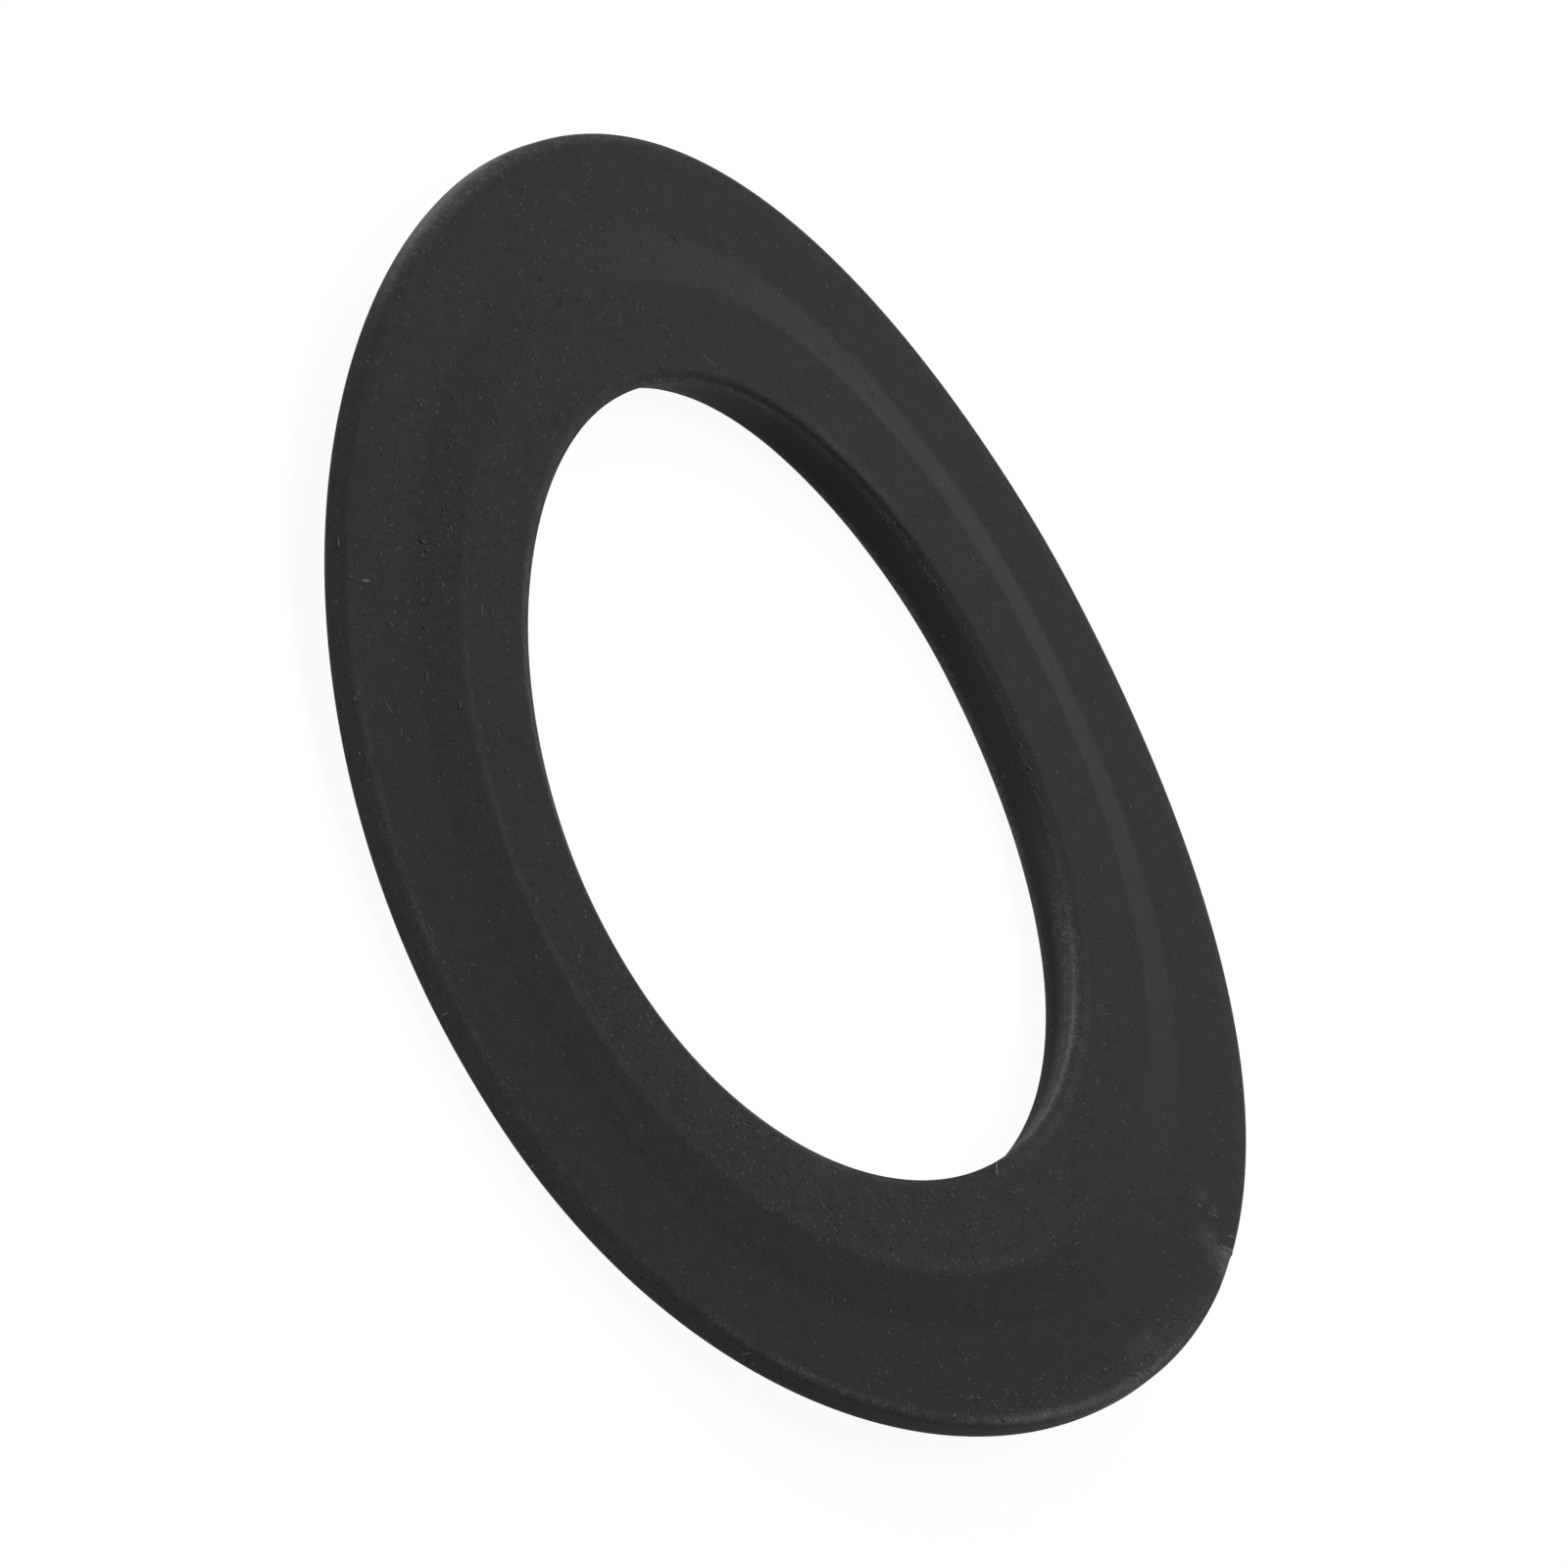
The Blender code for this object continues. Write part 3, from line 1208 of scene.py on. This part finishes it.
@dataclass
class HandlingMarks:
    """The dust, fluff and scuffs on the washer's skin, as one mesh of small flat mounds.

    Attributes:
        section: the seal's section.
        curl: the set that the rubber has taken.
        finish: what the marks are made of.
        seed: where the random numbers start.
        sides: points round each mound.
        end_taper: how much further a mound tapers at its ends than at its sides.
        ring_shares: the size of each ring of points, as a share of the mound's.
        ring_heights: its height, as a share of the mound's; the last one is sunk in the skin.
        ring_tones: its tone, as a share of the mark's over bare rubber; below 0 it is shaded.
    """

    section: WasherSection
    curl: Curl
    finish: DustAndFluff = field(default_factory=DustAndFluff)
    seed: int = 5
    sides: int = 10
    end_taper: float = 1.5
    ring_shares: tuple[float, ...] = (0.45, 0.72, 0.88, 1.0)
    ring_heights: tuple[float, ...] = (0.85, 0.35, 0.12, -0.4)
    ring_tones: tuple[float, ...] = (0.9, 0.5, -0.12, 0.0)

    def chosen(self) -> list[Mark]:
        """The marks that can be told apart one by one.

        Returns:
            The marks, those on the rim's wall last.
        """
        return [
            # The bright dash on the left flange, and the scuffs round it
            Mark(48.6, 30.17, 0.70, 0.17, 21.0, 1.0, MarkKind.SCUFF),
            Mark(48.8, 28.13, 0.66, 0.26, 40.0, 0.34, MarkKind.SCUFF),
            Mark(41.5, 26.28, 0.70, 0.22, 10.0, 0.45, MarkKind.SCUFF),
            Mark(42.2, 26.05, 0.60, 0.20, 15.0, 0.36, MarkKind.SCUFF),
            Mark(38.6, 24.95, 0.55, 0.22, 120.0, 0.42, MarkKind.SCUFF),
            Mark(46.0, 22.83, 0.78, 0.24, 85.0, 0.42, MarkKind.SCUFF),
            Mark(55.5, 26.44, 0.74, 0.20, 90.0, 0.42, MarkKind.SCUFF),
            Mark(59.4, 29.41, 0.80, 0.26, 130.0, 0.34, MarkKind.SCUFF),
            Mark(57.9, 24.82, 0.60, 0.22, 60.0, 0.40, MarkKind.SCUFF),
            Mark(60.2, 23.9, 0.50, 0.22, 20.0, 0.34, MarkKind.SCUFF),
            # Streaks near the top and on the right of the hub
            Mark(339.1, 29.35, 1.05, 0.08, 0.0, 0.42, MarkKind.SCUFF),
            Mark(338.4, 27.87, 0.30, 0.12, 20.0, 0.55, MarkKind.SCUFF),
            Mark(331.0, 20.66, 1.35, 0.14, 66.0, 0.50, MarkKind.SCUFF),
            Mark(349.3, 22.70, 0.76, 0.16, 159.0, 0.42, MarkKind.SCUFF),
            Mark(344.5, 23.17, 0.90, 0.14, 131.0, 0.42, MarkKind.SCUFF),
            Mark(313.5, 26.46, 0.36, 0.20, 0.0, 0.70),
            Mark(308.6, 30.80, 0.24, 0.18, 0.0, 0.75),
            Mark(317.2, 29.08, 0.24, 0.20, 0.0, 0.48),
            Mark(320.4, 28.13, 0.24, 0.20, 0.0, 0.45),
            Mark(211.2, 21.45, 0.50, 0.10, 30.0, 0.50, MarkKind.SCUFF),
            # Specks that stand out on the quiet right side
            Mark(274.1, 30.09, 0.24, 0.20, 0.0, 0.62),
            Mark(252.0, 30.37, 0.20, 0.16, 0.0, 0.60),
            Mark(269.7, 19.63, 0.22, 0.16, 0.0, 0.60),
            Mark(83.5, 20.80, 0.30, 0.22, 0.0, 0.50),
            Mark(226.6, 27.77, 0.30, 0.20, 0.0, 0.50),
            Mark(249.7, 20.51, 0.22, 0.16, 0.0, 0.50),
            Mark(203.6, 29.19, 0.30, 0.22, 90.0, 0.55),
            Mark(206.1, 29.74, 0.26, 0.20, 90.0, 0.50),
            Mark(195.9, 28.98, 0.26, 0.22, 0.0, 1.00),
            Mark(196.3, 30.10, 0.28, 0.20, 30.0, 0.60),
            Mark(193.3, 30.00, 0.34, 0.20, 30.0, 0.55),
            Mark(195.4, 31.10, 0.56, 0.20, 24.0, 0.75, MarkKind.SCUFF),
            # The fleck beside the thread of flash
            Mark(164.7, 20.21, 0.18, 0.12, 60.0, 0.90),
            # Grains of talc along the low rim
            Mark(167.4, 31.15, 0.20, 0.16, 0.0, 1.00),
            Mark(178.2, 29.81, 0.20, 0.17, 0.0, 0.95),
            Mark(178.3, 31.10, 0.19, 0.16, 0.0, 0.85),
            Mark(176.2, 31.10, 0.20, 0.17, 0.0, 1.00),
            Mark(171.9, 30.79, 0.20, 0.17, 0.0, 0.90),
            Mark(156.8, 30.99, 0.20, 0.15, 0.0, 0.80),
            Mark(139.8, 31.15, 0.20, 0.15, 0.0, 0.80),
            Mark(150.4, 30.50, 0.50, 0.10, 20.0, 0.55, MarkKind.SCUFF),
            # The rubbed left end
            Mark(21.1, 31.20, 0.22, 0.16, 0.0, 0.80),
            Mark(14.8, 31.20, 0.22, 0.16, 0.0, 0.90),
            # On the rim's wall
            Mark(45.9, 0.0, 0.12, 0.62, 0.0, 0.75, MarkKind.FLUFF, 1.60),
            Mark(63.3, 0.0, 0.16, 0.16, 0.0, 0.70, MarkKind.DUST, 1.59),
            Mark(98.1, 0.0, 0.18, 0.16, 0.0, 0.80, MarkKind.DUST, 1.00),
            Mark(84.4, 0.0, 0.55, 0.10, 0.0, 0.55, MarkKind.SCUFF, 1.25),
            Mark(122.1, 0.0, 0.55, 0.10, 20.0, 0.75, MarkKind.SCUFF, 1.55),
        ]

    def patches(self) -> list[DustPatch]:
        """The dusty regions.

        Returns:
            The regions, roughly in the order of their angles.
        """
        return [
            DustPatch(28.0, 34.0, 21.0, 31.0, 260, 0.12, 0.34, 0.35),
            DustPatch(34.0, 14.0, 22.0, 29.0, 110, 0.13, 0.44, 0.45),
            DustPatch(62.0, 26.0, 20.1, 24.2, 130, 0.12, 0.42, 0.15),
            DustPatch(70.0, 30.0, 24.0, 31.0, 80, 0.14, 0.38, 0.30),
            DustPatch(125.0, 36.0, 20.2, 24.3, 220, 0.13, 0.42, 0.25),
            DustPatch(110.0, 30.0, 26.0, 31.0, 50, 0.13, 0.36, 0.30),
            DustPatch(165.0, 21.0, 30.0, 31.2, 130, 0.12, 0.60, 0.10),
            DustPatch(160.0, 26.0, 27.5, 30.5, 70, 0.12, 0.45, 0.10),
            DustPatch(155.0, 30.0, 23.2, 24.3, 110, 0.12, 0.46, 0.10),
            DustPatch(165.0, 35.0, 20.5, 27.0, 60, 0.12, 0.40, 0.10),
            DustPatch(200.0, 24.0, 20.1, 21.6, 60, 0.13, 0.50, 0.10),
            DustPatch(215.0, 30.0, 20.5, 31.0, 70, 0.13, 0.42, 0.10),
            DustPatch(255.0, 60.0, 19.6, 20.2, 60, 0.11, 0.40, 0.10),
            DustPatch(264.0, 27.0, 19.46, 19.78, 50, 0.16, 0.44, 0.10),
            DustPatch(316.0, 24.0, 24.0, 27.2, 110, 0.17, 0.40, 0.15),
            DustPatch(280.0, 50.0, 20.5, 31.0, 70, 0.12, 0.34, 0.10),
            DustPatch(350.0, 25.0, 21.0, 31.2, 110, 0.12, 0.45, 0.35),
        ]

    def mound(self, mark: Mark) -> tuple[np.ndarray, np.ndarray]:
        """The points of one mark on the flat washer, the middle first and then ring by ring.

        Args:
            mark: the mark to lay down.

        Returns:
            Points as rows of x, y, z, and the tone of each.
        """
        heading = math.radians(mark.heading)
        turned = math.radians(mark.angle)
        outward = np.array([math.cos(turned), math.sin(turned), 0.0])
        round_ring = np.array([-math.sin(turned), math.cos(turned), 0.0])
        upward = np.array([0.0, 0.0, 1.0])
        if mark.wall_height > 0:
            middle = outward * self.section.outer_radius + upward * mark.wall_height
            first, second, lift = upward, round_ring, outward
        else:
            middle = outward * mark.radius + upward * self.section.front_height(mark.radius)
            first, second, lift = outward, round_ring, upward
        along = first * math.cos(heading) + second * math.sin(heading)
        aside = second * math.cos(heading) - first * math.sin(heading)
        bright = (1 - BARE_TONE) * mark.tone
        points = [middle + lift * mark.kind.value]
        tones = [BARE_TONE + bright]
        for share, rise, tone in zip(self.ring_shares, self.ring_heights, self.ring_tones):
            taper = (1 - share) * min(mark.length, mark.width * self.end_taper) / 2
            half_length, half_width = mark.length / 2 - taper, mark.width / 2 * share
            for side in range(self.sides):
                spin = math.tau * side / self.sides
                shift = along * half_length * math.cos(spin) + aside * half_width * math.sin(spin)
                points.append(middle + shift + lift * mark.kind.value * rise)
                tones.append(BARE_TONE + (bright * tone if tone > 0 else tone))
        return np.array(points), np.array(tones)

    def mound_faces(self, start: int) -> list[tuple[int, ...]]:
        """The faces of one mound.

        Args:
            start: the number of its first point in the whole mesh.

        Returns:
            Faces as tuples of point numbers.
        """
        faces: list[tuple[int, ...]] = []
        for side in range(self.sides):
            after = (side + 1) % self.sides
            faces.append((start, start + 1 + side, start + 1 + after))
            for ring in range(len(self.ring_shares) - 1):
                inner = start + 1 + ring * self.sides
                outer = inner + self.sides
                faces.append((inner + side, outer + side, outer + after, inner + after))
        return faces

    def mesh(self) -> bpy.types.Mesh:
        """Lays down all marks, those that were placed first and then the patches.

        Returns:
            The marks' mesh, with the tone of each point.
        """
        chance = np.random.default_rng(self.seed)
        marks = self.chosen()
        for patch in self.patches():
            marks += patch.marks(chance)
        points: list[np.ndarray] = []
        tones: list[np.ndarray] = []
        faces: list[tuple[int, ...]] = []
        start = 0
        for mark in marks:
            mound, mound_tones = self.mound(mark)
            points.append(mound)
            tones.append(mound_tones)
            faces += self.mound_faces(start)
            start += len(mound)
        mesh = smooth_mesh("handling_marks", self.curl.place(np.concatenate(points)), faces)
        store(mesh, "tone", np.concatenate(tones))
        return mesh

    def build(self) -> bpy.types.Object:
        """Makes the marks and dresses them.

        Returns:
            The marks, riding on the part's one body.
        """
        marks = linked("handling_marks", self.mesh())
        marks.data.materials.append(self.finish.material())
        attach(marks, BODY)
        return marks


@dataclass
class FlashThread:
    """The torn thread of moulding flash that still hangs at the low edge of the bore.

    Attributes:
        section: the seal's section.
        curl: the set that the rubber has taken.
        finish: its surface, rubbed as pale as a bright mark.
        tone: how pale it is.
        sides: points round the thread.
    """

    section: WasherSection
    curl: Curl
    finish: DustAndFluff = field(default_factory=DustAndFluff)
    tone: float = 0.95
    sides: int = 8

    def runs(self) -> list[list[tuple[float, float, float, float]]]:
        """The thread and its short fork.

        Returns:
            For each, points as (angle, radius, height, thickness).
        """
        hub = self.section.hub_front
        crest = hub - self.section.bore_crest_depth
        return [
            [
                (169.3, 19.48, crest + 0.02, 0.03),
                (169.0, 19.56, crest + 0.12, 0.08),
                (168.2, 19.71, crest + 0.20, 0.09),
                (167.5, 19.87, hub, 0.09),
                (167.0, 19.99, hub + 0.01, 0.07),
                (166.8, 20.07, hub - 0.01, 0.03),
            ],
            [
                (167.2, 19.60, crest + 0.14, 0.03),
                (167.2, 19.74, crest + 0.22, 0.06),
                (167.1, 19.88, hub, 0.07),
                (167.0, 19.98, hub + 0.01, 0.05),
            ],
        ]

    def ring(self, angle: float, radius: float, height: float, thickness: float) -> list[np.ndarray]:
        """The points round the thread at one place.

        Args:
            angle: where that place is round the bore, in degrees.
            radius: its distance from the bore's axis.
            height: its height.
            thickness: the thread's thickness there.

        Returns:
            The points, on the flat washer.
        """
        turned = math.radians(angle)
        outward = np.array([math.cos(turned), math.sin(turned), 0.0])
        upward = np.array([0.0, 0.0, 1.0])
        points = []
        for side in range(self.sides):
            spin = math.tau * side / self.sides
            across = outward * math.cos(spin) + upward * math.sin(spin)
            points.append(outward * radius + upward * height + across * thickness / 2)
        return points

    def run_faces(self, start: int, rings: int) -> list[tuple[int, ...]]:
        """The skin and the two ends of one run.

        Args:
            start: the number of its first point in the whole mesh.
            rings: how many rings of points it has.

        Returns:
            Faces as tuples of point numbers.
        """
        faces: list[tuple[int, ...]] = []
        for ring in range(rings - 1):
            low = start + ring * self.sides
            high = low + self.sides
            for side in range(self.sides):
                after = (side + 1) % self.sides
                faces.append((low + side, low + after, high + after, high + side))
        last = start + (rings - 1) * self.sides
        faces.append(tuple(range(start, start + self.sides)))
        faces.append(tuple(reversed(range(last, last + self.sides))))
        return faces

    def mesh(self) -> bpy.types.Mesh:
        """Makes the thread and its fork.

        Returns:
            Their mesh, with the tone of each point.
        """
        points: list[np.ndarray] = []
        faces: list[tuple[int, ...]] = []
        for run in self.runs():
            faces += self.run_faces(len(points), len(run))
            for angle, radius, height, thickness in run:
                points += self.ring(angle, radius, height, thickness)
        mesh = smooth_mesh("flash_thread", self.curl.place(np.array(points)), faces)
        store(mesh, "tone", np.full(len(points), self.tone))
        return mesh

    def build(self) -> bpy.types.Object:
        """Makes the thread and dresses it.

        Returns:
            The thread, riding on the part's one body.
        """
        thread = linked("flash_thread", self.mesh())
        thread.data.materials.append(self.finish.material())
        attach(thread, BODY)
        return thread


@dataclass
class FlushValveSeal:
    """The seal: its washer, the marks on it and the thread of flash at its bore."""

    section: WasherSection = field(default_factory=WasherSection)
    curl: Curl = field(default_factory=Curl)

    def build(self) -> list[bpy.types.Object]:
        """Makes the seal's pieces in order.

        Returns:
            The pieces, the washer first.
        """
        return [
            Washer(self.section, self.curl).build(),
            HandlingMarks(self.section, self.curl).build(),
            FlashThread(self.section, self.curl).build(),
        ]


@dataclass(frozen=True)
class PhotoCamera:
    """The camera, placed as the photograph was taken: from above one side, rolled on its side.

    Attributes:
        azimuth: direction of the camera from the seal, in degrees from +X.
        elevation: its height above the floor, in degrees.
        roll: turn about the line of sight, in degrees.
        distance: from the seal's centre, in millimetres.
        lens: focal length in millimetres.
        sensor: width of the sensor in millimetres.
        aim_right: how far the seal's centre stands right of the picture's middle, in millimetres.
        aim_up: how far it stands above the middle, in millimetres.
        centre_height: height of the seal's centre, on its flange's front face, in millimetres.
        clip_start: the nearest distance that the camera sees, in millimetres.
        clip_end: the farthest distance that it sees, in millimetres.
    """

    azimuth: float = 79.739
    elevation: float = 31.904
    roll: float = 65.327
    distance: float = 341.14
    lens: float = 172.653
    sensor: float = 36.0
    aim_right: float = 0.4185
    aim_up: float = -0.1072
    centre_height: float = 2.05
    clip_start: float = 10.0
    clip_end: float = 20000.0

    def axes(self) -> Matrix:
        """The camera's directions.

        Returns:
            A matrix whose columns are its right, up and back directions.
        """
        back = direction(self.azimuth, self.elevation)
        level_right = Vector((0, 0, 1)).cross(back).normalized()
        level_up = back.cross(level_right)
        roll = math.radians(self.roll)
        right = level_right * math.cos(roll) + level_up * math.sin(roll)
        up = back.cross(right)
        return Matrix((right, up, back)).transposed()

    def build(self) -> bpy.types.Object:
        """Makes the camera and gives it to the scene.

        Returns:
            The camera.
        """
        axes = self.axes()
        right, up, back = (axes.col[index] for index in range(3))
        centre = Vector((0, 0, self.centre_height))
        place = centre - right * self.aim_right - up * self.aim_up + back * self.distance
        lens = bpy.data.cameras.new("photo_camera")
        lens.lens = self.lens
        lens.sensor_width = self.sensor
        lens.clip_start = self.clip_start * MM
        lens.clip_end = self.clip_end * MM
        camera = linked("photo_camera", lens)
        camera.matrix_world = Matrix.Translation(place * MM) @ axes.to_4x4()
        bpy.context.scene.camera = camera
        LOG.info("camera: %.0f mm lens at %.0f mm", self.lens, self.distance)
        return camera


@dataclass(frozen=True)
class SoftLamp:
    """A round soft lamp that faces the seal.

    Attributes:
        name: what the lamp is for.
        azimuth: its direction from the seal, in degrees from +X.
        elevation: its height above the floor, in degrees.
        brightness: how bright its face is, whatever its size.
        diameter: of its face, in millimetres.
        distance: from the seal, in millimetres.
        aim_height: height of the place that it faces, in millimetres.
        face_power: watts for each square metre of its face at a brightness of 1.
    """

    name: str
    azimuth: float
    elevation: float
    brightness: float
    diameter: float = 320.0
    distance: float = 800.0
    aim_height: float = 2.0
    face_power: float = 10 * math.pi

    def build(self) -> bpy.types.Object:
        """Makes the lamp.

        Returns:
            The lamp.
        """
        toward = direction(self.azimuth, self.elevation)
        data = bpy.data.lights.new(self.name, "AREA")
        data.shape = "DISK"
        data.size = self.diameter * MM
        face_area = math.pi * (data.size / 2) ** 2
        data.energy = self.face_power * face_area * self.brightness
        lamp = linked(self.name, data)
        lamp.location = (Vector((0, 0, self.aim_height)) + toward * self.distance) * MM
        lamp.rotation_euler = toward.to_track_quat("Z", "Y").to_euler()
        return lamp


@dataclass(frozen=True)
class WhitePaper:
    """White paper under the seal, matt and diffuse.

    The camera and reflections see it at an even white for most of its strength, so it looks as
    bright as a lit white sweep, and the seal's shadow stays on it but lies soft and faint.

    Attributes:
        paper_hex: the paper's own colour.
        glow: how bright the even white is.
        glow_share: how much of what is seen is the even white.
    """

    paper_hex: str = "#f4f4f4"
    glow: float = 1.03
    glow_share: float = 0.92

    def material(self) -> bpy.types.Material:
        """Builds the material.

        Returns:
            The paper's material.
        """
        material, tree = new_tree("white_paper")
        path = add_node(tree, "ShaderNodeLightPath").outputs
        seen = path["Is Camera Ray"]
        for other in ("Is Glossy Ray", "Is Transmission Ray"):
            links = {0: seen, 1: path[other]}
            seen = add_node(tree, "ShaderNodeMath", links, operation="MAXIMUM").outputs[0]
        links = {0: seen, 1: self.glow_share}
        share = add_node(tree, "ShaderNodeMath", links, operation="MULTIPLY").outputs[0]
        paper = add_node(tree, "ShaderNodeBsdfDiffuse", {"Color": linear(self.paper_hex)})
        glow = add_node(tree, "ShaderNodeEmission", {"Strength": self.glow})
        links = {"Fac": share, 1: paper.outputs["BSDF"], 2: glow.outputs["Emission"]}
        mixed = add_node(tree, "ShaderNodeMixShader", links).outputs["Shader"]
        add_node(tree, "ShaderNodeOutputMaterial", {"Surface": mixed})
        return material


@dataclass
class Studio:
    """A white floor under a ring of soft lamps, with no other light in the room.

    Attributes:
        finish: what the floor is covered with.
        floor_side: the floor's side in millimetres.
        floor_drop: how far it lies below the seal, in millimetres.
    """

    finish: WhitePaper = field(default_factory=WhitePaper)
    floor_side: float = 3000.0
    floor_drop: float = 0.02

    def lamps(self) -> list[SoftLamp]:
        """The lamps: one overhead, low ones that graze the rim and bore, and fills between them.

        Returns:
            The lamps, the overhead one first.
        """
        return [
            SoftLamp("overhead", 0.0, 90.0, 1.17),
            SoftLamp("low_camera_side", 60.0, 8.0, 3.30, 220.0),
            SoftLamp("low_lower_end", 150.0, 8.0, 0.18, 220.0),
            SoftLamp("low_far_lower_end", 210.0, 8.0, 0.85, 220.0),
            SoftLamp("far_side_fill", 255.0, 25.0, 0.48),
            SoftLamp("low_far_side", 270.0, 8.0, 0.49, 220.0),
            SoftLamp("high_upper_end", 315.0, 45.0, 1.15),
        ]

    def build(self) -> None:
        """Makes the floor, the world and the lamps."""
        self.build_floor()
        self.build_world()
        for lamp in self.lamps():
            lamp.build()
            LOG.info("lamp %s: brightness %.2f", lamp.name, lamp.brightness)

    def build_floor(self) -> bpy.types.Object:
        """Makes the floor that the seal lies on.

        Returns:
            The floor.
        """
        half = self.floor_side / 2
        signs = ((-1, -1), (1, -1), (1, 1), (-1, 1))
        corners = np.array([(x * half, y * half, -self.floor_drop) for x, y in signs])
        floor = linked("floor", smooth_mesh("floor", corners, [(0, 1, 2, 3)]))
        floor.data.materials.append(self.finish.material())
        return floor

    def build_world(self) -> bpy.types.World:
        """Makes the room dark, so that only the lamps light the seal.

        Returns:
            The world.
        """
        world = bpy.data.worlds.new("studio")
        bpy.context.scene.world = world
        world.use_nodes = True
        background = world.node_tree.nodes["Background"]
        background.inputs["Color"].default_value = (0.0, 0.0, 0.0, 1.0)
        background.inputs["Strength"].default_value = 0.0
        return world


def main() -> None:
    """Builds the seal, the camera and the studio in order."""
    logging.basicConfig(level=logging.INFO, format="%(name)s: %(message)s")
    bpy.context.scene.view_settings.view_transform = "Standard"
    for piece in FlushValveSeal().build():
        LOG.info("%s: %d faces", piece.name, len(piece.data.polygons))
    PhotoCamera().build()
    Studio().build()


if __name__ == "__main__":
    main()
